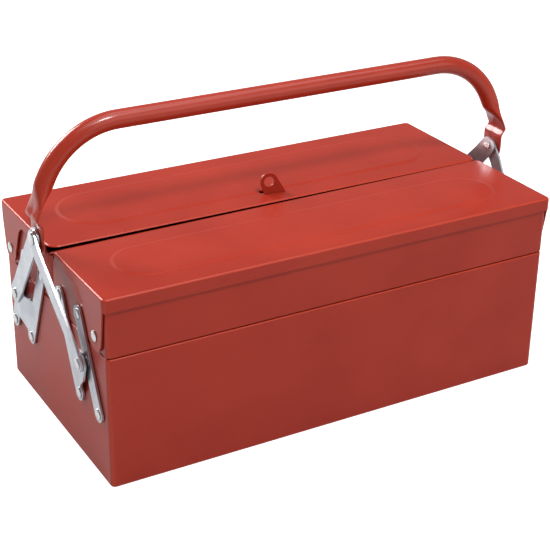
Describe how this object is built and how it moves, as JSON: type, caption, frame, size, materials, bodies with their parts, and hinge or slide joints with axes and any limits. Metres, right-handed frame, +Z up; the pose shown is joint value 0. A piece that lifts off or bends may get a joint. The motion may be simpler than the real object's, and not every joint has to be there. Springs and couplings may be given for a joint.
{
  "type": "toolbox with tray",
  "caption": "Folded steel toolbox: a deep base, cantilever trays with hinged lids, and a tube handle whose rods open and close the trays together.",
  "frame": {"origin": "under the middle of the whole object, on the surface it stands on", "axes": "+X along the length, the front with the front tray faces -Y, +Z up"},
  "size_m": [0.4414, 0.2112, 0.2592],
  "materials": {
    "red_paint": "glossy red powder coat with faint orange peel",
    "zinc_plate": "bright zinc plated flat steel",
    "rivet_steel": "bright plated rivet"
  },
  "bodies": {
    "base": {"base_box": "red_paint", "rivet_base_outer_front_left": "rivet_steel", "rivet_base_inner_front_left": "rivet_steel", "rivet_base_outer_rear_left": "rivet_steel", "rivet_base_inner_rear_left": "rivet_steel", "rivet_base_outer_front_right": "rivet_steel", "rivet_base_inner_front_right": "rivet_steel", "rivet_base_outer_rear_right": "rivet_steel", "rivet_base_inner_rear_right": "rivet_steel"},
    "front_cranks": {"crank_front_left": "zinc_plate", "rivet_crank_front_left": "rivet_steel", "crank_front_right": "zinc_plate", "rivet_crank_front_right": "rivet_steel"},
    "front_outer_links": {"outer_link_front_left": "zinc_plate", "outer_link_front_right": "zinc_plate"},
    "front_handle_rods": {"handle_rod_front_left": "zinc_plate", "handle_rod_front_right": "zinc_plate", "rivet_apex_left": "rivet_steel", "rivet_apex_right": "rivet_steel"},
    "front_tray": {"front_tray": "red_paint", "rivet_tray_outer_front_left": "rivet_steel", "rivet_tray_inner_front_left": "rivet_steel", "rivet_lid_front_left": "red_paint", "rivet_tray_outer_front_right": "rivet_steel", "rivet_tray_inner_front_right": "rivet_steel", "rivet_lid_front_right": "red_paint"},
    "front_lid": {"front_lid": "red_paint"},
    "rear_cranks": {"crank_rear_left": "zinc_plate", "rivet_crank_rear_left": "rivet_steel", "crank_rear_right": "zinc_plate", "rivet_crank_rear_right": "rivet_steel"},
    "rear_outer_links": {"outer_link_rear_left": "zinc_plate", "outer_link_rear_right": "zinc_plate"},
    "rear_handle_rods": {"handle_rod_rear_left": "zinc_plate", "handle_rod_rear_right": "zinc_plate"},
    "rear_tray": {"rear_tray": "red_paint", "rivet_tray_outer_rear_left": "rivet_steel", "rivet_tray_inner_rear_left": "rivet_steel", "rivet_lid_rear_left": "red_paint", "rivet_tray_outer_rear_right": "rivet_steel", "rivet_tray_inner_rear_right": "rivet_steel", "rivet_lid_rear_right": "red_paint"},
    "rear_lid": {"rear_lid": "red_paint", "hasp_eye": "red_paint"},
    "handle": {"handle": "red_paint"}
  },
  "joints": [
    {"name": "tray_opening", "type": "hinge", "parent": "base", "child": "front_cranks", "pos_m": [0, -0.051, 0.0575], "axis": [1, 0, 0], "range_deg": [0, 48.5]},
    {"name": "front_link_swing", "type": "hinge", "parent": "base", "child": "front_outer_links", "pos_m": [0, -0.0875, 0.0575], "axis": [1, 0, 0], "range_deg": [0, 48.5]},
    {"name": "front_tray_level", "type": "hinge", "parent": "front_cranks", "child": "front_tray", "pos_m": [0, -0.019, 0.127], "axis": [1, 0, 0], "range_deg": [-48.5, 0]},
    {"name": "front_rod_swing", "type": "hinge", "parent": "front_cranks", "child": "front_handle_rods", "pos_m": [0, -0.0665, 0.092], "axis": [1, 0, 0], "range_deg": [-67.42, 0]},
    {"name": "rear_crank_swing", "type": "hinge", "parent": "base", "child": "rear_cranks", "pos_m": [0, 0.051, 0.0575], "axis": [1, 0, 0], "range_deg": [-48.5, 0]},
    {"name": "rear_link_swing", "type": "hinge", "parent": "base", "child": "rear_outer_links", "pos_m": [0, 0.0875, 0.0575], "axis": [1, 0, 0], "range_deg": [-48.5, 0]},
    {"name": "rear_tray_level", "type": "hinge", "parent": "rear_cranks", "child": "rear_tray", "pos_m": [0, 0.019, 0.127], "axis": [1, 0, 0], "range_deg": [0, 48.5]},
    {"name": "rear_rod_swing", "type": "hinge", "parent": "rear_cranks", "child": "rear_handle_rods", "pos_m": [0, 0.0665, 0.092], "axis": [1, 0, 0], "range_deg": [0, 67.42]},
    {"name": "front_lid_hinge", "type": "hinge", "parent": "front_tray", "child": "front_lid", "pos_m": [0, -0.087, 0.1235], "axis": [1, 0, 0], "range_deg": [0, 105]},
    {"name": "rear_lid_hinge", "type": "hinge", "parent": "rear_tray", "child": "rear_lid", "pos_m": [0, 0.087, 0.1235], "axis": [1, 0, 0], "range_deg": [-105, 0]},
    {"name": "handle_fold", "type": "hinge", "parent": "front_handle_rods", "child": "handle", "pos_m": [0, 0, 0.1685], "axis": [1, 0, 0], "range_deg": [-19, 56]}
  ],
  "couplings": [
    {"joint": "front_link_swing", "follows": "tray_opening", "ratio": 1},
    {"joint": "front_tray_level", "follows": "tray_opening", "ratio": -1},
    {"joint": "front_rod_swing", "follows": "tray_opening", "ratio": -1.39},
    {"joint": "rear_crank_swing", "follows": "tray_opening", "ratio": -1},
    {"joint": "rear_link_swing", "follows": "tray_opening", "ratio": -1},
    {"joint": "rear_tray_level", "follows": "tray_opening", "ratio": 1},
    {"joint": "rear_rod_swing", "follows": "tray_opening", "ratio": 1.39}
  ]
}
